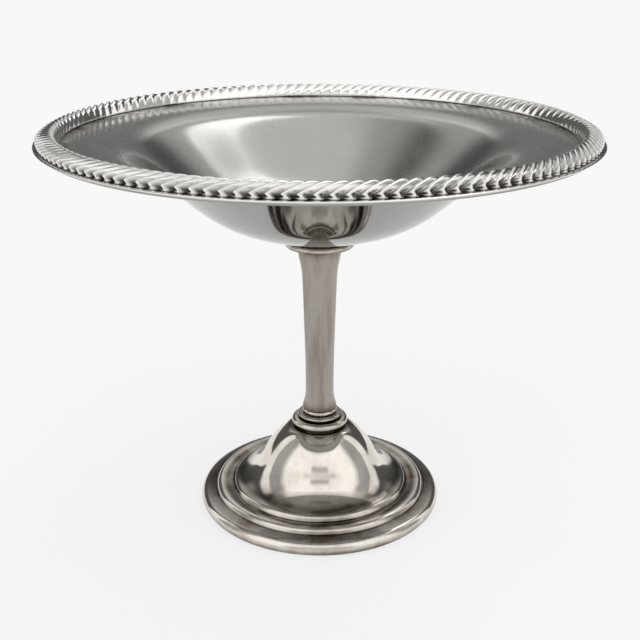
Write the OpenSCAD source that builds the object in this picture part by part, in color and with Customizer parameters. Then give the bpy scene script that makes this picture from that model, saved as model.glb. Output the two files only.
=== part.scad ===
// Footed compote bowl: a spun bowl with a gadroon border, on a tall stem over a stepped, weighted foot.
// Origin on the table at the middle of the foot, +Z up the axis, millimetres.

/* [Bowl] */
// Diameter over the gadroon border
rim_d = 152.4; // [140:0.1:175]
// Rise of the bowl from its flat base to the underside of its flange
bowl_h = 26.8; // [20:0.1:34]
// Thickness of the bowl's sheet
bowl_wall = 0.9; // [0.7:0.05:1.3]
// Distance that the border overhangs the edge of the flange
border_overhang = 1.2; // [0.9:0.05:1.6]

/* [Gadroon border] */
// Width of the border, from its inner crease to its outermost point
border_w = 7; // [6:0.1:8]
// Height of the border above the flange
border_h = 4; // [3.2:0.1:4.8]
// Lobes round the rim
lobe_count = 140; // [100:1:150]
// Depth of the grooves between the lobes
lobe_depth = 0.75; // [0.4:0.05:1]
// Lean of a lobe from its inner to its outer end, in lobes
lobe_lean = 3; // [0:0.1:4]

/* [Boss and collar] */
// Diameter of the boss soldered under the bowl
boss_d = 14.6; // [13:0.1:16]
// Height of the boss, which leaves the shadow gap over the collar
boss_h = 1.9; // [1.4:0.1:2.6]
// Diameter of the round collar on top of the stem
collar_d = 20.2; // [18.5:0.1:21.5]
// Height of the collar
collar_h = 1.9; // [1.5:0.1:2.4]

/* [Stem] */
// Height of the stem
stem_h = 50.3; // [40:0.1:65]
// Diameter of the stem under the collar
stem_top_d = 12.5; // [11.8:0.1:13.2]
// Diameter of the stem where its flare begins
stem_neck_d = 9.9; // [9.4:0.1:10.4]
// Diameter of the stem at its waist
stem_waist_d = 8.3; // [8:0.1:8.8]
// Diameter of the stem where it stands on its bead
stem_foot_d = 10.1; // [9.6:0.1:10.6]
// Height of the flare at the top of the stem
stem_flare_h = 10.4; // [8:0.1:12]
// Height of the flare at the foot of the stem
stem_spread_h = 4.6; // [3.6:0.1:5.6]
// Bore through the stem
stem_bore_d = 6.4; // [6:0.1:6.8]

/* [Knop] */
// Diameter of the bead under the stem
bead_d = 10.2; // [10:0.1:11]
// Height of the bead under the stem
bead_h = 1.5; // [1.2:0.1:2]
// Diameter of the knop's upper ring
knop_ring_d = 13.1; // [12.8:0.1:14.4]
// Height of the knop's upper ring
knop_ring_h = 1.1; // [0.8:0.1:1.4]
// Diameter of the groove between the knop's rings
knop_groove_d = 11.4; // [10.6:0.1:11.4]
// Height of the groove between the knop's rings
knop_groove_h = 0.3; // [0.2:0.05:0.5]
// Diameter of the knop's lower and larger ring
knop_d = 16.8; // [15.8:0.1:18.4]
// Height of the knop's larger ring
knop_h = 2.2; // [1.8:0.1:2.8]
// Diameter of the knop's seat on the foot
knop_seat_d = 14.6; // [13:0.1:15.4]
// Height of the shadow gap under the knop
knop_gap_h = 0.4; // [0.3:0.05:0.6]

/* [Foot] */
// Diameter over the rim of the foot
foot_d = 72.6; // [66:0.1:84]
// Height of the foot from the table to its flat top
foot_h = 24.4; // [21:0.1:30]
// Diameter of the flat top of the foot
foot_top_d = 17; // [16:0.1:18.6]
// Thickness of the foot's sheet
foot_wall = 0.6; // [0.5:0.05:0.8]
// Height of the half-round rim of the foot
rim_h = 4.4; // [4:0.1:5]
// Width of the outer band, with its step
outer_band_w = 4.7; // [4.3:0.1:6]
// Rise of the outer band from the rim to its step
outer_band_rise = 0.4; // [0.2:0.1:0.9]
// Width of the middle band, with its step
middle_band_w = 5.2; // [4.5:0.1:6.5]
// Dip of the middle band from its edge in to its step
middle_band_dip = 0.6; // [0.3:0.05:0.9]
// Drop of each step between the bands, over its rounded edge
step_drop = 1.6; // [1.2:0.05:1.9]
// Width of the groove at each step
step_w = 0.6; // [0.45:0.05:0.8]
// Width of the lip turned in under the rim
lip_w = 1.5; // [1.2:0.1:2]

/* [Inside the foot and stem] */
// Diameter of the tie rod
rod_d = 4; // [3.6:0.1:4.4]
// Diameter of the stud under the bowl
stud_d = 5; // [4.6:0.1:5.2]
// Length of the stud that screws into the bush
stud_grip_h = 8; // [6:0.1:9]
// Length of the bush soldered inside the top of the stem
bush_h = 18; // [16:0.1:22]
// Length of the tie rod that screws into the bush
rod_grip_h = 7; // [5:0.1:8]
// Diameter of the washer under the top of the foot
washer_d = 11.6; // [10.6:0.1:12]
// Thickness of the washer
washer_h = 1; // [0.8:0.1:1.4]
// Width of the nut across its flats
nut_af = 7; // [6.6:0.1:7.6]
// Height of the nut
nut_h = 3.2; // [2.8:0.1:4]
// Length of the tie rod left below the nut
rod_tail_h = 2.4; // [1.6:0.1:3]
// Diameter of the well left in the filler for the nut
well_d = 13; // [12.6:0.1:14]
// Thickness of the base plate
plate_h = 0.6; // [0.5:0.05:0.9]
// Diameter of the ring pressed into the base plate
plate_ring_d = 46; // [36:0.1:54]
// Depth of the ring pressed into the base plate
plate_ring_depth = 0.2; // [0.1:0.05:0.3]

/* [Hidden] */

$fn = 96;
// Clearance round rods, studs, the bush and the filler
fit = 0.1;
// Overrun of every cut
over = 1;
// Pieces of each curve between two given points
curve_steps = 4;
// Pieces of each rounded bead
bead_steps = 12;

// Radii
rim_r = rim_d / 2;
flange_r = rim_r - border_overhang;
crease_r = rim_r - border_w;
foot_r = foot_d / 2;
band_r = foot_r - outer_band_w;
dome_r = band_r - middle_band_w;
foot_top_r = foot_top_d / 2;
// The ring that the foot rests on, under the middle of its half-round rim
rest_r = foot_r - rim_h / 2;
rim_middle = [rest_r, rim_h / 2];

// Heights of the seats, one on the other, from the table up
outer_step_z = rim_h + outer_band_rise;
band_z = outer_step_z + step_drop;
inner_step_z = band_z - middle_band_dip;
dome_z = inner_step_z + step_drop;
knop_z = foot_h;
knop_ring_z = knop_z + knop_gap_h + knop_h + knop_groove_h;
knop_top_z = knop_ring_z + knop_ring_h;
stem_z = knop_top_z + bead_h;
stem_top_z = stem_z + stem_h;
collar_top_z = stem_top_z + collar_h;
bowl_z = collar_top_z + boss_h;
flange_z = bowl_z + bowl_h;
flange_top_z = flange_z + bowl_wall;
bush_z = stem_top_z - bush_h;
washer_z = foot_h - foot_wall - washer_h;
nut_z = washer_z - nut_h;

// Underside of the bowl, as shares of the crease radius and of the rise, from the flat base out
bowl_share = [[0.125, 0], [0.2, 0.024], [0.29, 0.066], [0.377, 0.145], [0.463, 0.273], [0.55, 0.457],
              [0.636, 0.655], [0.708, 0.82], [0.751, 0.898], [0.795, 0.94], [0.853, 0.967], [0.925, 0.986],
              [0.995, 1]];

// Border section over a lobe, as shares of its width and height, from the inner foot to the outer one
lobe_share = [[0.01, 0], [0.03, 0.6], [0.13, 1], [0.4, 0.95], [0.68, 0.7], [0.9, 0.36], [1, 0.1], [0.9, 0]];
// How much of the groove's depth cuts in at each of those points, down to the plain lip
groove_share = [0.3, 0.8, 1, 1, 1, 1, 0, 0];

// Dome of the foot, as shares of its width and height, from the flat top down to the first step
dome_share = [[0, 1], [0.068, 0.959], [0.127, 0.914], [0.18, 0.865], [0.228, 0.815], [0.273, 0.762],
              [0.334, 0.681], [0.388, 0.596], [0.436, 0.507], [0.465, 0.446], [0.494, 0.386], [0.527, 0.328],
              [0.563, 0.272], [0.605, 0.219], [0.678, 0.147], [0.761, 0.082], [0.854, 0.025], [1, 0]];

// Flare at the foot of the stem, as shares of its height and of the spread over the waist
spread_share = [[0, 1], [0.24, 0.85], [0.39, 0.62], [0.54, 0.43], [0.67, 0.28], [1, 0]];
// Flare under the collar, as shares of its height and of the spread over the neck
flare_share = [[0, 0], [0.46, 0.38], [0.57, 0.5], [0.63, 0.66], [0.69, 0.79], [0.74, 0.85], [1, 1]];

// Points scaled from shares to a place: each share times a size, from an origin
function placed(shares, origin, size) =
    [for (s = shares) [origin[0] + s[0] * size[0], origin[1] + s[1] * size[1]]];

// A smooth curve that passes through every given point
function blend(a, b, c, d, t) =
    (2 * b + (c - a) * t + (2 * a - 5 * b + 4 * c - d) * pow(t, 2) + (3 * b - a - 3 * c + d) * pow(t, 3)) / 2;
function through(p) = let (last = len(p) - 1) concat(
    [for (i = [0 : last - 1]) for (k = [0 : curve_steps - 1])
        blend(p[max(i - 1, 0)], p[i], p[i + 1], p[min(i + 2, last)], k / curve_steps)],
    [p[last]]);

// The same line moved sideways, to the left of its direction, by a distance
function beside(p, distance) = let (last = len(p) - 1)
    [for (i = [0 : last])
        let (way = p[min(i + 1, last)] - p[max(i - 1, 0)], long = norm(way))
        p[i] + [-way[1], way[0]] * distance / long];

// An arc of points round a centre, from one angle to another
function arc(centre, r, from, to) =
    [for (k = [0 : bead_steps]) let (a = from + (to - from) * k / bead_steps)
        centre + r * [cos(a), sin(a)]];

// A half-round bead that stands on z, from its bottom up
function half_round(r, z, h) = arc([r - h / 2, z + h / 2], h / 2, -90, 90);

function reversed(p) = [for (i = [len(p) - 1 : -1 : 0]) p[i]];

// Lines that several pieces share
bowl_under = placed(bowl_share, [0, bowl_z], [crease_r, bowl_h]);
dome_points = placed(dome_share, [foot_top_r, dome_z], [dome_r - foot_top_r, foot_h - dome_z]);
dome_line = [for (q = through(dome_points)) if (q[0] < dome_r - step_drop) q];
// Inner line of the foot, which passes under the bottoms of the steps
foot_back = concat(dome_line, [[dome_r + step_w, inner_step_z], [band_r + step_w, outer_step_z],
                               [rest_r, rim_h]]);

// The spun bowl: a flat base, a rounded well, and a flat flange with a rounded edge
module bowl() {
    outside = through(bowl_under);
    inside = beside(outside, bowl_wall);
    edge = arc([flange_r - bowl_wall / 2, flange_z + bowl_wall / 2], bowl_wall / 2, -90, 90);
    color("silver")
        rotate_extrude()
            polygon(concat([[0, bowl_z]], outside, edge,
                           [[crease_r, flange_top_z]],
                           reversed([for (q = inside) if (q[0] < crease_r) q]),
                           [[0, bowl_z + bowl_wall]]));
}

// One point of the border: its place along the section, and how far round one lobe it lies
function lobe_point(j, turn) =
    let (centre = [crease_r + border_w / 2, flange_top_z],
         p = placed([lobe_share[j]], [crease_r, flange_top_z], [border_w, border_h])[0],
         swell = pow(abs(sin(180 * turn)), 0.8),
         inward = (centre - p) / norm(centre - p),
         q = p + inward * lobe_depth * groove_share[j] * (1 - swell),
         level = lobe_share[j][1] == 0 ? flange_top_z : q[1],
         around = 360 / lobe_count * (turn - lobe_lean * lobe_share[j][0]))
    [q[0] * cos(around), q[0] * sin(around), level];

// The gadroon border: slanting rounded lobes swept round the flange in one closed ring
module gadroon_border() {
    rows = 5;
    sides = len(lobe_share);
    rings = lobe_count * rows;
    points = [for (i = [0 : rings - 1]) for (j = [0 : sides - 1]) lobe_point(j, i / rows)];
    faces = [for (i = [0 : rings - 1]) for (j = [0 : sides - 1])
        let (n = (i + 1) % rings, k = (j + 1) % sides)
        each [[i * sides + j, n * sides + j, n * sides + k],
              [i * sides + j, n * sides + k, i * sides + k]]];
    color("gainsboro") polyhedron(points, faces, convexity = 10);
}

// The boss soldered under the bowl, tapped for the stud
module bowl_boss() {
    color("darkgray") difference() {
        translate([0, 0, collar_top_z]) cylinder(h = boss_h, d = boss_d);
        translate([0, 0, collar_top_z - over]) cylinder(h = boss_h + over - fit, d = stud_d + fit);
    }
}

// The stud that joins the bowl to the bush in the stem
module bowl_stud() {
    stud_z = stem_top_z - stud_grip_h;
    color("goldenrod") translate([0, 0, stud_z]) cylinder(h = bowl_z - fit - stud_z, d = stud_d);
}

// The round collar between the stem and the boss
module collar() {
    bore_r = stud_d / 2 + fit;
    color("silver")
        rotate_extrude()
            polygon(concat([[bore_r, stem_top_z]], half_round(collar_d / 2, stem_top_z, collar_h),
                           [[bore_r, collar_top_z]]));
}

// The tall hollow stem: a flared foot, a waist, a slow taper and a flare under the collar
module stem() {
    neck_r = stem_neck_d / 2;
    waist_r = stem_waist_d / 2;
    flare_z = stem_top_z - stem_flare_h;
    spread = [for (s = spread_share)
        [waist_r + s[1] * (stem_foot_d / 2 - waist_r), stem_z + s[0] * stem_spread_h]];
    flare = [for (s = flare_share)
        [neck_r + s[1] * (stem_top_d / 2 - neck_r), flare_z + s[0] * stem_flare_h]];
    outside = through(concat(spread, [(spread[len(spread) - 1] + flare[0]) / 2], flare));
    color("lightgray")
        rotate_extrude()
            polygon(concat([[stem_bore_d / 2, stem_z]], outside, [[stem_bore_d / 2, stem_top_z]]));
}

// The bush in the top of the stem that takes the stud from above and the tie rod from below
module stem_bush() {
    color("goldenrod") translate([0, 0, bush_z]) difference() {
        cylinder(h = bush_h, d = stem_bore_d);
        translate([0, 0, bush_h - stud_grip_h - fit]) cylinder(h = stud_grip_h + over, d = stud_d + fit);
        translate([0, 0, -over]) cylinder(h = rod_grip_h + over + fit, d = rod_d + fit);
    }
}

// The small bead between the stem and the knop
module stem_bead() {
    bore_r = rod_d / 2 + fit;
    color("silver")
        rotate_extrude()
            polygon(concat([[bore_r, knop_top_z]], half_round(bead_d / 2, knop_top_z, bead_h),
                           [[bore_r, stem_z]]));
}

// The knop: a large ring with a smaller one on it, turned in one piece
module knop() {
    bore_r = rod_d / 2 + fit;
    seat_r = knop_seat_d / 2;
    ring_z = knop_z + knop_gap_h;
    groove_r = knop_groove_d / 2;
    color("silver")
        rotate_extrude()
            polygon(concat([[bore_r, knop_z], [seat_r, knop_z], [seat_r, ring_z]],
                           half_round(knop_d / 2, ring_z, knop_h),
                           [[groove_r, ring_z + knop_h], [groove_r, knop_ring_z]],
                           half_round(knop_ring_d / 2, knop_ring_z, knop_ring_h),
                           [[bore_r, knop_top_z]]));
}

// The rounded outer edge of a band, as deep as a step, that ends at a corner
function band_edge(corner) = arc(corner - [step_drop, step_drop], step_drop, 90, 10);

// The spun foot: a domed shell with a flare, two stepped bands and a half-round rim with a lip under it
module foot() {
    lip_r = rest_r - lip_w;
    color("silver")
        rotate_extrude()
            polygon(concat([[rod_d / 2 + fit, foot_h]],
                           dome_line,
                           band_edge([dome_r, dome_z]),
                           [[dome_r + step_w, inner_step_z]],
                           band_edge([band_r, band_z]),
                           [[band_r + step_w, outer_step_z]],
                           arc(rim_middle, rim_h / 2, 90, -90),
                           [[lip_r, 0], [lip_r, foot_wall]],
                           arc(rim_middle, rim_h / 2 - foot_wall, -90, 80),
                           reversed(beside(foot_back, -foot_wall)),
                           [[rod_d / 2 + fit, foot_h - foot_wall]]));
}

// The tie rod that draws the foot, the knop and the stem together
module tie_rod() {
    rod_z = nut_z - rod_tail_h;
    color("slategray") translate([0, 0, rod_z]) cylinder(h = bush_z + rod_grip_h - rod_z, d = rod_d);
}

// The washer under the top of the foot
module rod_washer() {
    color("slategray") translate([0, 0, washer_z]) difference() {
        cylinder(h = washer_h, d = washer_d);
        translate([0, 0, -over]) cylinder(h = washer_h + 2 * over, d = rod_d + 2 * fit);
    }
}

// The nut that tightens the tie rod
module rod_nut() {
    color("slategray") translate([0, 0, nut_z]) difference() {
        cylinder(h = nut_h, r = nut_af / 2 / cos(30), $fn = 6);
        translate([0, 0, -over]) cylinder(h = nut_h + 2 * over, d = rod_d + fit);
    }
}

// The plaster that weights the foot, cast against the shell, with a well for the nut
module foot_filler() {
    well_r = well_d / 2;
    bottom_z = foot_wall + plate_h;
    against = beside(foot_back, -foot_wall - fit);
    color("linen")
        rotate_extrude()
            polygon(concat([for (q = against) if (q[0] > well_r) q],
                           arc(rim_middle, rim_h / 2 - foot_wall - fit, 80, 0),
                           [[rest_r, bottom_z], [well_r, bottom_z], [well_r, foot_h - foot_wall - fit]]));
}

// The plate that closes the foot from below, held by the lip
module base_plate() {
    ring_r = plate_ring_d / 2;
    color("gray") translate([0, 0, foot_wall]) difference() {
        cylinder(h = plate_h, r = rest_r - fit);
        translate([0, 0, -over]) difference() {
            cylinder(h = over + plate_ring_depth, r = ring_r + plate_h);
            translate([0, 0, -over]) cylinder(h = plate_h + 3 * over, r = ring_r - plate_h);
        }
    }
}

bowl();
gadroon_border();
bowl_boss();
bowl_stud();
collar();
stem();
stem_bush();
stem_bead();
knop();
foot();
tie_rod();
rod_washer();
rod_nut();
foot_filler();
base_plate();
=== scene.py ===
"""A footed compote bowl in silver plate: a spun bowl with a gadroon border, a tall stem, a stepped foot."""
from math import atan2, cos, exp, hypot, pi, radians, sin

import bmesh
import bpy
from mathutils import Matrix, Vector


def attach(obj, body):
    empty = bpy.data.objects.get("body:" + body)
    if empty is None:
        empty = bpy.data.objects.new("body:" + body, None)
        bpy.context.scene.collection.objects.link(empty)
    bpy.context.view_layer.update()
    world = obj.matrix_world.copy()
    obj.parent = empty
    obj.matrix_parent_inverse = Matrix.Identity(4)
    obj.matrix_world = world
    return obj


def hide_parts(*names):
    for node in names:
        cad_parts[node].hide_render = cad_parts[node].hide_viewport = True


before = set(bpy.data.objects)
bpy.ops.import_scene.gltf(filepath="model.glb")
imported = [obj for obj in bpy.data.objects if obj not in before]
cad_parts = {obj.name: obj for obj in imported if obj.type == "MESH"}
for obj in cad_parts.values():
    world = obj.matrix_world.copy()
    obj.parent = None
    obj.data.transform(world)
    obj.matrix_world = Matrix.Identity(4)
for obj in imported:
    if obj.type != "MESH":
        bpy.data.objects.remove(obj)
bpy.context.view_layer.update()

# Foot
# The foot is spun from thin sheet: a dome with a flare, which steps down to a low band and a round rim that
# is turned under. It is silver plated and buffed bright on a wheel, with brown tarnish and painted shade in
# its steps, painted shade round its top under the knop, and painted shade on the underside of its rim.
MM = 0.001
MERGE_MM = 0.001
FOOT_D = 72.6
FOOT_H = 24.4
FOOT_TOP_D = 17
FOOT_WALL = 0.4
ROD_HOLE_D = 4.2
OUTER_BAND_W = 4.7
MIDDLE_BAND_W = 5.2
OUTER_STEP_Z = 4.8
INNER_STEP_Z = 5.8
STEP_DROP = 1.6
STEP_W = 0.35
CROWN_SHARE = 1.1
RAMP_SHARE = 0.55
FOOT_RIM_H = 4.4
LIP_W = 1.5
DOME_SHARE = [(0, 1), (0.068, 0.959), (0.127, 0.914), (0.18, 0.865), (0.228, 0.815), (0.273, 0.762),
              (0.334, 0.681), (0.388, 0.596), (0.436, 0.507), (0.465, 0.446), (0.494, 0.386), (0.527, 0.328),
              (0.563, 0.272), (0.605, 0.219), (0.678, 0.147), (0.761, 0.082), (0.854, 0.025)]
FOOT_SILVER = "#e8e2da"
FOOT_TARNISH_AND_SHADE = "#4a3a2e"
CLOUD_SPAN = (0.42, 0.78)
PATCH_MM = 14
PATCH_SPAN = (0.4, 0.6)
HAIR_MM = 0.2
HAIR_DEPTH_MM = 0.03
HAIR_SPAN = (0.35, 0.8)


def placed(shares, origin, size):
    """Points at shares of a size, from an origin, all in mm."""
    return [Vector((origin[0] + a * size[0], origin[1] + b * size[1])) for a, b in shares]


def arc(centre, r, start, end, steps=6):
    """Points on an arc round a centre, from one angle to another, in degrees."""
    turns = [radians(start + (end - start) * k / steps) for k in range(steps + 1)]
    return [Vector((centre[0] + r * cos(a), centre[1] + r * sin(a))) for a in turns]


def eased(points, passes=20):
    """Points pushed out so that the subdivided surface passes through the ones given.

    It passes through a sixth of each neighbour and two thirds of the point between them.
    """
    held = list(points)
    for _ in range(passes):
        middle = [1.5 * p - (a + b) / 4 for a, p, b in zip(held, points[1:], held[2:])]
        held = [points[0], *middle, points[-1]]
    return held


def turned(name, outline, closed=False, steps=96, levels=1, tarnish_and_shade_spots=()):
    """Spins an outline of radius and height in mm into a shell, and darkens it round some of its points.

    Each dark place is its radius, its height, how far it spreads, and how dark it is; most are painted shade
    at joints, grooves and undersides, and a few are tarnish. The outline swells by the little that smoothing
    shrinks a ring.
    """
    shape = bmesh.new()
    swell = 1 / (1 - (1 - cos(2 * pi / steps)) / 3)
    dots = [shape.verts.new((p[0] * MM * swell, 0, p[1] * MM)) for p in outline]
    lines = [shape.edges.new(pair) for pair in zip(dots, dots[1:])]
    if closed:
        lines.append(shape.edges.new((dots[-1], dots[0])))
    bmesh.ops.spin(shape, geom=dots + lines, cent=(0, 0, 0), axis=(0, 0, 1), angle=2 * pi,
                   steps=steps, use_merge=True)
    bmesh.ops.remove_doubles(shape, verts=shape.verts, dist=MERGE_MM * MM)
    bmesh.ops.recalc_face_normals(shape, faces=shape.faces)
    layer = shape.verts.layers.float.new("tarnish_and_shade")
    for v in shape.verts:
        r, z = hypot(v.co.x, v.co.y) / MM / swell, v.co.z / MM
        v[layer] = max((c * exp(-((hypot(r - a, z - b) / w) ** 2)) for a, b, w, c in tarnish_and_shade_spots), default=0)
    mesh = bpy.data.meshes.new(name)
    shape.to_mesh(mesh)
    shape.free()
    mesh.shade_smooth()
    piece = bpy.data.objects.new(name, mesh)
    bpy.context.scene.collection.objects.link(piece)
    smooth = piece.modifiers.new("smooth", "SUBSURF")
    smooth.levels = smooth.render_levels = levels
    return piece


def colour(hexed):
    """An sRGB hex colour as linear red, green, blue and alpha."""
    parts = [int(hexed[i:i + 2], 16) / 255 for i in (1, 3, 5)]
    return [c / 12.92 if c <= 0.04045 else ((c + 0.055) / 1.055) ** 2.4 for c in parts] + [1]


def add(tree, kind, inputs=None, **settings):
    """Adds a node, gives it its settings, and sets or links its inputs."""
    node = tree.nodes.new(kind)
    for name, value in settings.items():
        setattr(node, name, value)
    for name, value in (inputs or {}).items():
        if isinstance(value, bpy.types.NodeSocket):
            tree.links.new(value, node.inputs[name])
        else:
            node.inputs[name].default_value = value
    return node


def worn_metal(name, clean, tarnish_and_shade, gloss, cloud_mm=9, bloom=0.35, streak=(1, 1, 1), least=0.45):
    """Metal that has been handled: bright, clouded with thin tarnish, and dark in its corners.

    The clouds tint the colour and dull the polish a little. Hair lines left by cleaning roughen it, and are
    drawn coarser than real ones so that they show. The dark spots are painted shade in corners, joints and
    under parts, with some tarnish among them; they come and go in patches, and least is what is left of them
    between them, with none where it is below nought.
    """
    material = bpy.data.materials.new(name)
    material.use_nodes = True
    tree = material.node_tree
    tree.nodes.clear()
    place = add(tree, "ShaderNodeTexCoord").outputs["Object"]
    spread = add(tree, "ShaderNodeMapping", {"Vector": place, "Scale": streak}).outputs[0]
    clouds = add(tree, "ShaderNodeTexNoise", {"Vector": spread, "Scale": 1 / (cloud_mm * MM), "Detail": 4,
                                              "Roughness": 0.62}).outputs["Fac"]
    film = add(tree, "ShaderNodeMapRange", {"Value": clouds, "From Min": CLOUD_SPAN[0],
                                            "From Max": CLOUD_SPAN[1], "To Max": bloom}).outputs[0]
    # The spots read here are painted shade at joints, grooves and undersides, with some tarnish.
    corner = add(tree, "ShaderNodeAttribute", attribute_name="tarnish_and_shade").outputs["Fac"]
    patches = add(tree, "ShaderNodeTexNoise", {"Vector": place, "Scale": 1 / (PATCH_MM * MM),
                                               "Detail": 3}).outputs["Fac"]
    broken = add(tree, "ShaderNodeMapRange", {"Value": patches, "From Min": PATCH_SPAN[0],
                                              "From Max": PATCH_SPAN[1], "To Min": least}).outputs[0]
    dark = add(tree, "ShaderNodeMath", {0: corner, 1: broken}, operation="MULTIPLY").outputs[0]
    mask = add(tree, "ShaderNodeMath", {0: film, 1: dark}, operation="ADD", use_clamp=True).outputs[0]
    tint = add(tree, "ShaderNodeMix", {"Factor": mask, "A": colour(clean), "B": colour(tarnish_and_shade)},
               data_type="RGBA")
    hairs = add(tree, "ShaderNodeTexNoise", {"Vector": place, "Scale": 1 / (HAIR_MM * MM), "Detail": 2,
                                             "Roughness": 0.7}).outputs["Fac"]
    dull = add(tree, "ShaderNodeMath", {0: hairs, 1: mask}, operation="ADD").outputs[0]
    rough = add(tree, "ShaderNodeMapRange", {"Value": dull, "From Min": HAIR_SPAN[0],
                                             "From Max": HAIR_SPAN[1], "To Min": gloss[0],
                                             "To Max": gloss[1]}).outputs[0]
    bump = add(tree, "ShaderNodeBump", {"Height": hairs, "Strength": 0.03,
                                        "Distance": HAIR_DEPTH_MM * MM}).outputs[0]
    metal = add(tree, "ShaderNodeBsdfPrincipled", {"Base Color": tint.outputs["Result"], "Metallic": 1,
                                                   "Roughness": rough, "Normal": bump}).outputs[0]
    add(tree, "ShaderNodeOutputMaterial", {"Surface": metal})
    return material


def finish(piece, material, node):
    """Gives a piece its finish and puts it in the place of its plain solid."""
    piece.data.materials.append(material)
    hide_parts(node)
    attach(piece, "root")


def band(groove, corner):
    """A band of the foot: from the groove inside it, out over a low crown to its rounded edge."""
    groove, crown = Vector(groove), Vector((corner[0] - CROWN_SHARE * STEP_DROP, corner[1]))
    ramp = [groove + Vector((-STEP_W / 3, 0)), groove, groove + Vector((STEP_W, STEP_W / 3))]
    return ramp + [groove.lerp(crown, RAMP_SHARE)] + rounded(corner)


def rounded(corner):
    """The rounded outer edge of a band, as deep as a step, that ends at a corner."""
    return arc((corner[0] - STEP_DROP, corner[1] - STEP_DROP), STEP_DROP, 90, 10)


foot_r = FOOT_D / 2
band_r = foot_r - OUTER_BAND_W
dome_r = band_r - MIDDLE_BAND_W
foot_top_r = FOOT_TOP_D / 2
dome_z = INNER_STEP_Z + STEP_DROP
band_z = OUTER_STEP_Z + STEP_DROP
rest_r = foot_r - FOOT_RIM_H / 2
dome = placed(DOME_SHARE, (foot_top_r, dome_z), (dome_r - foot_top_r, FOOT_H - dome_z))
foot_line = [Vector((ROD_HOLE_D / 2, FOOT_H)), Vector((foot_top_r / 2, FOOT_H)), *eased(dome)]
foot_line += rounded((dome_r, dome_z))
foot_line += band((dome_r + STEP_W, INNER_STEP_Z), (band_r, band_z))
foot_line += [Vector((band_r + STEP_W / 2, OUTER_STEP_Z)), Vector((band_r + 1.5 * STEP_W, OUTER_STEP_Z))]
foot_line += arc((rest_r, FOOT_RIM_H / 2), FOOT_RIM_H / 2, 90, -90, 12) + [Vector((rest_r - LIP_W, 0))]
# Painted shade, with some tarnish: dark in the two step grooves, over the bands and at the foot of the dome,
# under the rim, and round the top where the knop sits.
foot_tarnish_and_shade = [(dome_r + STEP_W / 2, INNER_STEP_Z, 0.4, 1), (band_r + STEP_W / 2, OUTER_STEP_Z, 0.4, 1),
             (dome_r + 1.6, INNER_STEP_Z, 1.8, 0.9), (band_r + 1.3, OUTER_STEP_Z, 1.6, 0.9),
             (dome_r - 3, dome_z, 2.2, 0.85), (foot_r - 1, 0.3, 1.5, 1), (foot_r, 0.9, 1.4, 1),
             (foot_top_r, FOOT_H, 0.9, 1)]
foot = turned("foot_shell", foot_line, steps=128, tarnish_and_shade_spots=foot_tarnish_and_shade)
wall = foot.modifiers.new("wall", "SOLIDIFY")
wall.thickness = FOOT_WALL * MM
wall.offset = -1
foot.modifiers.move(foot.modifiers.find("wall"), 0)
finish(foot, worn_metal("buffed_silver_plate_foot", FOOT_SILVER, FOOT_TARNISH_AND_SHADE, (0.02, 0.12), least=0.75),
       "foot")

# Base plate, plaster, and the fastening inside
# A dull plate closes the foot from below. Plaster weights the foot, and a steel rod with a washer and
# a nut draws the whole piece together, into a brass bush inside the stem.
PLATE_GREY = "#a7a49e"
PLATE_STAIN = "#6d675e"
PLASTER = "#dcd6c9"
PLASTER_SHADE = "#c2b9a8"
GRIT_MM = 2
PIT_DEPTH_MM = 0.3
STEEL = "#8d8d90"
STEEL_STAIN = "#6a625a"
BRASS = "#c9a25a"
BRASS_STAIN = "#8a6a37"

inside_finishes = {
    "base_plate": worn_metal("burnished_base_plate", PLATE_GREY, PLATE_STAIN, (0.28, 0.5)),
    "tie_rod": worn_metal("drawn_steel_rod", STEEL, STEEL_STAIN, (0.3, 0.5), cloud_mm=4),
    "bowl_stud": worn_metal("turned_brass_stud", BRASS, BRASS_STAIN, (0.2, 0.4), cloud_mm=4),
}
inside_finishes["rod_washer"] = inside_finishes["rod_nut"] = inside_finishes["tie_rod"]
inside_finishes["stem_bush"] = inside_finishes["bowl_stud"]

# Plaster sets chalky and matt, with a fine grit and small pits.
cast = bpy.data.materials.new("cast_plaster")
cast.use_nodes = True
tree = cast.node_tree
tree.nodes.clear()
place = add(tree, "ShaderNodeTexCoord").outputs["Object"]
grit = add(tree, "ShaderNodeTexNoise", {"Vector": place, "Scale": 1 / (GRIT_MM * MM),
                                        "Detail": 6}).outputs["Fac"]
chalk = add(tree, "ShaderNodeMix", {"Factor": grit, "A": colour(PLASTER), "B": colour(PLASTER_SHADE)},
            data_type="RGBA").outputs["Result"]
pits = add(tree, "ShaderNodeBump", {"Height": grit, "Strength": 0.4,
                                    "Distance": PIT_DEPTH_MM * MM}).outputs[0]
plaster = add(tree, "ShaderNodeBsdfPrincipled", {"Base Color": chalk, "Roughness": 0.9,
                                                 "Normal": pits}).outputs[0]
add(tree, "ShaderNodeOutputMaterial", {"Surface": plaster})
inside_finishes["foot_filler"] = cast
for node, material in inside_finishes.items():
    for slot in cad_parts[node].material_slots:
        slot.material = material

# Knop, bead and collar
# Three small turnings: a knop of two rings that seats on the foot, a bead under the stem and a round
# collar on top of it. They are polished on the lathe, so each ring holds a thin bright line, and their sharp
# edges are broken by BREAK.
KNOP_Z = 24.4
KNOP_SEAT_D = 14.6
KNOP_GAP_H = 0.4
KNOP_D = 16.8
KNOP_H = 2.2
GROOVE_D = 11.4
GROOVE_H = 0.3
RING_D = 13.1
RING_H = 1.1
BEAD_D = 10.2
BEAD_H = 1.5
COLLAR_D = 20.2
COLLAR_H = 1.9
COLLAR_Z = 80.2
COLLAR_BORE_D = 6
BORE_D = 4.2
BREAK = 0.1
RING_SILVER = "#d6cec4"
RING_TARNISH_AND_SHADE = "#3d342d"


def half_round(d, z, h):
    """The outline of a half-round ring that stands on a height."""
    return arc((d / 2 - h / 2, z + h / 2), h / 2, -90, 90, 10)


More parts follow.
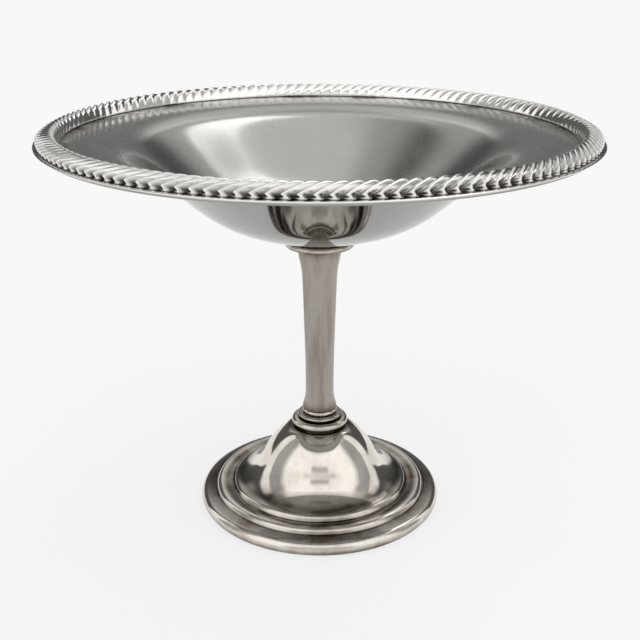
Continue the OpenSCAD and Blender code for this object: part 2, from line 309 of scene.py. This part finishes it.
ring_z = KNOP_Z + KNOP_GAP_H
groove_z = ring_z + KNOP_H
upper_z = groove_z + GROOVE_H
bead_z = upper_z + RING_H
bore_r = BORE_D / 2
ring_silver = worn_metal("lathe_polished_silver", RING_SILVER, RING_TARNISH_AND_SHADE, (0.03, 0.14), cloud_mm=5)
seat_r = KNOP_SEAT_D / 2
groove_r = GROOVE_D / 2
knop_line = [Vector((bore_r, KNOP_Z)), Vector((seat_r - BREAK, KNOP_Z)), Vector((seat_r, KNOP_Z + BREAK / 2)),
             Vector((seat_r, ring_z - BREAK / 2)), *half_round(KNOP_D, ring_z, KNOP_H),
             Vector((groove_r + 2 * BREAK, groove_z)), Vector((groove_r, groove_z + BREAK)),
             Vector((groove_r, upper_z - BREAK)), *half_round(RING_D, upper_z, RING_H),
             Vector((bore_r, bead_z))]
# Painted shade where the knop seats on the foot, in its groove, under the bead and on the lower side of the
# big ring.
knop_painted_shade = [(seat_r, KNOP_Z, 0.7, 1), (groove_r, groove_z, 1.2, 1), (BEAD_D / 2 + 0.2, bead_z, 0.8, 1),
             (KNOP_D / 2 - 0.5, ring_z + 0.1, 0.9, 0.8)]
knop = turned("knop_rings", knop_line, closed=True, levels=2, tarnish_and_shade_spots=knop_painted_shade)
finish(knop, ring_silver, "knop")
bead = turned("stem_bead_ring", [Vector((bore_r, bead_z)), *half_round(BEAD_D, bead_z, BEAD_H),
                                 Vector((bore_r, bead_z + BEAD_H))], closed=True, levels=2)
finish(bead, ring_silver, "stem_bead")
# Painted shade round the collar's bore, on its top under the bowl and on its lower side.
collar_painted_shade = [(6.5, COLLAR_Z, 0.8, 1), (8, COLLAR_Z + COLLAR_H, 1.6, 1),
               (COLLAR_D / 2 - 0.4, COLLAR_Z + 0.1, 0.9, 0.8)]
collar_line = [Vector((COLLAR_BORE_D / 2, COLLAR_Z)), *half_round(COLLAR_D, COLLAR_Z, COLLAR_H),
               Vector((COLLAR_BORE_D / 2, COLLAR_Z + COLLAR_H))]
collar = turned("collar_ring", collar_line, closed=True, levels=2, tarnish_and_shade_spots=collar_painted_shade)
finish(collar, ring_silver, "collar")

# Stem and boss
# The stem is a tapering tube with a small flare at each end. It is satin rather than bright, with long soft
# streaks down it, and painted shade at its ends. The boss above its collar is soldered under the bowl, and is
# painted dark for the shade that it stands in.
STEM_Z = 29.9
STEM_TOP_Z = 80.2
STEM_BORE_D = 6.4
STEM_LINE = [(5.05, 30), (5.02, 30.4), (4.91, 31), (4.71, 31.7), (4.53, 32.4), (4.4, 33), (4.24, 34),
             (4.16, 35.5), (4.15, 39.5), (4.27, 47), (4.49, 54.9), (4.72, 62.5), (4.95, 69.5), (5.13, 72.5),
             (5.44, 74.6), (5.64, 75.6), (5.83, 76.5), (6, 77.4), (6.12, 78.4), (6.21, 79.4)]
STEM_SEAT_D = 9.9
STEM_HEAD_D = 12.5
BOSS_D = 14.6
BOSS_H = 1.9
BOSS_BORE_D = 5.2
STEM_SILVER = "#a6a098"
STEM_TARNISH_AND_SHADE = "#6a6056"

stem_line = [Vector((STEM_BORE_D / 2, STEM_Z)), Vector((STEM_SEAT_D / 2, STEM_Z)),
             *eased([Vector(p) for p in STEM_LINE]), Vector((STEM_HEAD_D / 2, STEM_TOP_Z - BREAK / 2)),
             Vector((STEM_HEAD_D / 2 - BREAK, STEM_TOP_Z)), Vector((STEM_BORE_D / 2, STEM_TOP_Z))]
# Painted shade at both ends of the stem, under the collar and over the bead.
stem = turned("stem_tube", stem_line, closed=True, levels=2, steps=64,
              tarnish_and_shade_spots=[(6.2, STEM_TOP_Z, 1.6, 1), (5.2, STEM_Z, 1.4, 1)])
finish(stem, worn_metal("satin_silver_plate_stem", STEM_SILVER, STEM_TARNISH_AND_SHADE, (0.26, 0.42), cloud_mm=3,
                        bloom=0.6, streak=(1, 1, 0.12)), "stem")
boss_z = COLLAR_Z + COLLAR_H
boss_top_z = boss_z + BOSS_H
boss_r = BOSS_D / 2
boss_line = [Vector((BOSS_BORE_D / 2, boss_z)), Vector((boss_r - BREAK, boss_z)),
             Vector((boss_r, boss_z + BREAK)), Vector((boss_r, boss_top_z - BREAK)),
             Vector((boss_r - BREAK, boss_top_z)), Vector((0, boss_top_z)), Vector((0, boss_top_z - BREAK)),
             Vector((BOSS_BORE_D / 2, boss_top_z - BREAK))]
# Painted shade over the boss, for the shade under the bowl.
boss = turned("boss_disc", boss_line, closed=True, tarnish_and_shade_spots=[(boss_r, boss_z, 3, 1)])
finish(boss, ring_silver, "bowl_boss")

# Bowl
# The bowl is spun from one sheet: a rounded well that opens into a wide sloping flange. Its outside is
# buffed bright and painted a darker grey than its inside, as painted shade in what it mirrors from below, and
# years of cleaning have left its inside satin, with tarnish in the crease.
BOWL_Z = 84
BOWL_H = 26.8
BOWL_WALL = 0.9
FLANGE_R = 75
CREASE_R = 69.2
CREASE_INSET = 0.6
LEDGE_W = 0.4
BOWL_SHARE = [(0.06, 0), (0.125, 0), (0.2, 0.024), (0.29, 0.066), (0.377, 0.145), (0.463, 0.273),
              (0.55, 0.457), (0.636, 0.655), (0.708, 0.82), (0.751, 0.898), (0.795, 0.94), (0.853, 0.967),
              (0.925, 0.986), (0.995, 1)]
BOWL_SILVER = "#bbbbb6"
BOWL_OUTSIDE_PAINTED_SHADE = "#9c9c9a"
BOWL_TARNISH = "#4b3a28"


def beside(points, distance):
    """The same line moved sideways, to the left of its direction."""
    moved = []
    for i, p in enumerate(points):
        way = points[min(i + 1, len(points) - 1)] - points[max(i - 1, 0)]
        moved.append(p + Vector((-way.y, way.x)).normalized() * distance)
    return moved


flange_z = BOWL_Z + BOWL_H
lip_z = flange_z + BOWL_WALL
outside = placed(BOWL_SHARE, (0, BOWL_Z), (CREASE_R, BOWL_H))
inside = [p for p in beside(outside, BOWL_WALL) if p.x < CREASE_R - CREASE_INSET]
edge = arc((FLANGE_R - BOWL_WALL / 2, flange_z + BOWL_WALL / 2), BOWL_WALL / 2, -80, 90)
bowl_line = [Vector((0, BOWL_Z)), *eased(outside), *edge, Vector((CREASE_R + LEDGE_W, lip_z)),
             Vector((CREASE_R, lip_z)), *reversed(eased(inside)), Vector((0, BOWL_Z + BOWL_WALL))]
bowl = turned("bowl_shell", bowl_line, closed=True, levels=2, tarnish_and_shade_spots=[(CREASE_R, lip_z, 0.7, 1)])
# The outside is a darker copy of the inside's silver: painted shade in what it mirrors from below.
bowl.data.materials.append(worn_metal("buffed_silver_plate_bowl", BOWL_OUTSIDE_PAINTED_SHADE, BOWL_TARNISH, (0.03, 0.1),
                                      cloud_mm=16, bloom=0.1))
finish(bowl, worn_metal("satin_silver_plate_bowl", BOWL_SILVER, BOWL_TARNISH, (0.08, 0.35), cloud_mm=16,
                        bloom=0.1, least=-1.2), "bowl")
# What faces up is the satin inside, the second of the two finishes.
for face in bowl.data.polygons:
    face.material_index = int(face.normal.z > 0)

# Gadroon border
# A cast border of slanting lobes is soldered round the flange. Each lobe is a rounded finger that rises
# steeply from the crease and runs out, leaning, to a plain lip, with a deep gap beside its end that is
# painted dark, as shade with some tarnish.
BORDER_W = 7
BORDER_H = 3.97
LOBES = 140
LOBE_COLUMNS = 8
LOBE_DEPTH = 1
LOBE_LEAN = 3
LOBE_POWER = 0.75
GAP_POWER = 3
# Point by point along the section, the three lists say where it runs, how deep the grooves cut and how dark
# it is painted, mostly shade in the grooves, the gaps and the recess over the lip, with some tarnish. The
# lobes end at point LOBE_END, and the gaps beside their ends at point GAP_END. The powers make the lobes full
# and the ridges between the gaps thin.
LOBE_END = 9
GAP_END = 14
LOBE_SHARE = [(0, 0), (0.01, 0.05), (0.04, 0.3), (0.1, 0.6), (0.18, 0.84), (0.28, 0.98), (0.4, 0.99),
              (0.56, 0.89), (0.7, 0.77), (0.81, 0.67), (0.88, 0.6), (0.92, 0.53), (0.89, 0.38), (0.85, 0.23),
              (0.87, 0.13), (0.95, 0.12), (1, 0.08), (0.995, 0.03), (0.95, 0)]
CUT_SHARE = [0, 0, 0.1, 0.25, 0.5, 0.75, 0.9, 0.9, 0.9, 1, 1.3, 1.4, 1.2, 0.6, 0, 0, 0, 0, 0]
SHADE_AND_TARNISH_SHARE = [0.2, 0.2, 0.1, 0.1, 0.2, 0.4, 0.5, 0.5, 0.5, 0.6, 0.9, 1, 1, 1, 1, 0.1, 0, 0, 0.1]
BORDER_SILVER = "#f8f6f2"
BORDER_TARNISH_AND_SHADE = "#2c211c"

section = placed(LOBE_SHARE, (CREASE_R, lip_z), (BORDER_W, BORDER_H))
border = turned("gadroon_ring", section, closed=True, steps=LOBES * LOBE_COLUMNS)
# Between two lobes the section sinks towards its heart and is painted darker, as shade, and each point leans
# on by how far out it lies.
heart = Vector((CREASE_R + BORDER_W / 2, lip_z))
shape = bmesh.new()
shape.from_mesh(border.data)
layer = shape.verts.layers.float["tarnish_and_shade"]
for v in shape.verts:
    r, z, turn = hypot(v.co.x, v.co.y) / MM, v.co.z / MM, atan2(v.co.y, v.co.x)
    j = min(range(len(section)), key=lambda k: (section[k] - Vector((r, z))).length)
    column = round(turn / (2 * pi) * LOBES * LOBE_COLUMNS) % LOBE_COLUMNS
    swell = abs(sin(pi * column / LOBE_COLUMNS)) ** (LOBE_POWER if j < LOBE_END else GAP_POWER)
    cut = LOBE_DEPTH * CUT_SHARE[j] * (1 - swell)
    p = section[j] + (heart - section[j]).normalized() * cut
    turn -= 2 * pi / LOBES * LOBE_LEAN * LOBE_SHARE[j][0]
    v.co = (p.x * cos(turn) * MM, p.x * sin(turn) * MM, max(p.y, lip_z) * MM)
    v[layer] = SHADE_AND_TARNISH_SHARE[j] * (1 - swell if j < GAP_END else 1)
bmesh.ops.recalc_face_normals(shape, faces=shape.faces)
shape.to_mesh(border.data)
shape.free()
finish(border, worn_metal("cast_silver_border", BORDER_SILVER, BORDER_TARNISH_AND_SHADE, (0.02, 0.12), cloud_mm=20,
                          bloom=0.05, least=0.9), "gadroon_border")

# Camera
# It stands at the height and angle of the photograph's, a little above the rim and looking down at the
# stem, with the lens that gives the photograph's perspective.
CAMERA_PLACE_M = (0.0001, -0.28195, 0.1644)
CAMERA_DIP = 20.762
LENS_MM = 58.08
NEAREST_SEEN_M = 0.01

camera = bpy.data.objects.new("camera", bpy.data.cameras.new("camera"))
bpy.context.scene.collection.objects.link(camera)
camera.location = CAMERA_PLACE_M
camera.rotation_euler = (radians(90 - CAMERA_DIP), 0, 0)
camera.data.lens = LENS_MM
camera.data.clip_start = NEAREST_SEEN_M
bpy.context.scene.camera = camera

# Floor
# A plain sweep of pale matt board, wide enough to reach the horizon in any view. A share of what is seen
# of it, also in the metal, is plain white, and the rest keeps the shadow.
FLOOR_R_M = 30
FLOOR_WHITE = "#f7f7f5"
FLOOR_GLOW = 0.75

shape = bmesh.new()
bmesh.ops.create_circle(shape, cap_ends=True, segments=64, radius=FLOOR_R_M)
mesh = bpy.data.meshes.new("floor")
shape.to_mesh(mesh)
shape.free()
floor = bpy.data.objects.new("floor", mesh)
bpy.context.scene.collection.objects.link(floor)
board = bpy.data.materials.new("matt_white_board")
board.use_nodes = True
tree = board.node_tree
tree.nodes.clear()
matt = add(tree, "ShaderNodeBsdfDiffuse", {"Color": colour(FLOOR_WHITE)}).outputs[0]
bright = add(tree, "ShaderNodeEmission", {"Strength": 1}).outputs[0]
rays = add(tree, "ShaderNodeLightPath").outputs
seen = add(tree, "ShaderNodeMath", {0: rays["Is Camera Ray"], 1: rays["Is Transmission Ray"]},
           operation="ADD").outputs[0]
seen = add(tree, "ShaderNodeMath", {0: seen, 1: rays["Is Glossy Ray"]}, operation="ADD").outputs[0]
share = add(tree, "ShaderNodeMath", {0: seen, 1: FLOOR_GLOW}, operation="MULTIPLY").outputs[0]
mixed = add(tree, "ShaderNodeMixShader", {0: share, 1: matt, 2: bright}).outputs[0]
add(tree, "ShaderNodeOutputMaterial", {"Surface": mixed})
mesh.materials.append(board)

# Studio
# The world is a plain room for photographing metal: pale walls beside and behind the camera, a pale ceiling
# with a slanting window in it, and a darker wall ahead with a lighter middle. In its place the camera sees
# a plain white sweep that rises from the floor, and so does the metal, low over the floor.
ROOM_LIGHT = 0.104
# A panel is its bearing from straight ahead, its elevation, its half sizes and its soft edge, in degrees,
# and the light that it adds or takes. Those of BOTH_SIDES stand on the left and on the right.
BOTH_SIDES = [(180, 90, 360, 36, 20, 0.76), (150, 8, 46, 46, 14, 1.04), (90, 20, 14, 34, 8, 0.32),
              (68, 22, 8, 26, 5, 0.88), (28, 42, 20, 12, 12, 0.44), (180, 30, 18, 4, 7, -0.56),
              (180, 8, 32, 14, 10, -0.48)]
ONE_SIDE = [(-65, 62, 30, 12, 14, -0.36), (0, 37, 14, 12, 10, 0.6), (0, 14, 14, 9, 10, 0.096)]
# The window's place and sizes are measured along the ceiling, in shares of the ceiling's height.
WINDOW = [(0.163, 0.52, 0.237, 0.3, 0.06, 1.44)]
WINDOW_SLANT = 0.6
WALL_GLOW = 0.94
SWEEP_RISE = 3

world = bpy.data.worlds.new("studio")
bpy.context.scene.world = world
world.use_nodes = True
tree = world.node_tree
tree.nodes.clear()
way = add(tree, "ShaderNodeSeparateXYZ", {0: add(tree, "ShaderNodeTexCoord").outputs["Generated"]}).outputs
bearing = add(tree, "ShaderNodeMath", {0: way["X"], 1: way["Y"]}, operation="ARCTAN2").outputs[0]
bearing = add(tree, "ShaderNodeMath", {0: bearing}, operation="DEGREES").outputs[0]
rise = add(tree, "ShaderNodeMath", {0: way["Z"]}, operation="ARCSINE").outputs[0]
rise = add(tree, "ShaderNodeMath", {0: rise}, operation="DEGREES").outputs[0]
aside = add(tree, "ShaderNodeMath", {0: bearing}, operation="ABSOLUTE").outputs[0]
ahead = add(tree, "ShaderNodeMath", {0: way["Y"], 1: way["Z"]}, operation="DIVIDE").outputs[0]
right = add(tree, "ShaderNodeMath", {0: way["X"], 1: way["Z"]}, operation="DIVIDE").outputs[0]
right = add(tree, "ShaderNodeMath", {0: ahead, 1: -WINDOW_SLANT, 2: right},
            operation="MULTIPLY_ADD").outputs[0]


def within(value, middle, half, edge):
    """How far a place lies within a panel, across it or up it, from 0 outside to 1 inside."""
    off = add(tree, "ShaderNodeMath", {0: value, 1: middle}, operation="SUBTRACT").outputs[0]
    off = add(tree, "ShaderNodeMath", {0: off}, operation="ABSOLUTE").outputs[0]
    return add(tree, "ShaderNodeMapRange", {"Value": off, "From Min": half + edge / 2,
                                            "From Max": half - edge / 2},
               interpolation_type="SMOOTHSTEP").outputs[0]


light = ROOM_LIGHT
for side, height, panels in ((aside, rise, BOTH_SIDES), (bearing, rise, ONE_SIDE), (right, ahead, WINDOW)):
    for x, y, half_w, half_h, edge, strength in panels:
        across, up = within(side, x, half_w, edge), within(height, y, half_h, edge)
        panel = add(tree, "ShaderNodeMath", {0: across, 1: up}, operation="MULTIPLY").outputs[0]
        light = add(tree, "ShaderNodeMath", {0: panel, 1: strength, 2: light},
                    operation="MULTIPLY_ADD").outputs[0]
sweep = add(tree, "ShaderNodeMapRange", {"Value": rise, "From Min": SWEEP_RISE, "From Max": 0},
            interpolation_type="SMOOTHSTEP").outputs[0]
rays = add(tree, "ShaderNodeLightPath").outputs
seen = add(tree, "ShaderNodeMath", {0: rays["Is Camera Ray"], 1: rays["Is Transmission Ray"]},
           operation="ADD").outputs[0]
seen = add(tree, "ShaderNodeMath", {0: rays["Is Glossy Ray"], 1: sweep, 2: seen},
           operation="MULTIPLY_ADD").outputs[0]
light = add(tree, "ShaderNodeMapRange", {"Value": seen, "To Min": light, "To Max": WALL_GLOW}).outputs[0]
glow = add(tree, "ShaderNodeBackground", {"Color": (1, 1, 1, 1), "Strength": light}).outputs[0]
add(tree, "ShaderNodeOutputWorld", {"Surface": glow})

bpy.context.scene.view_settings.view_transform = "Standard"
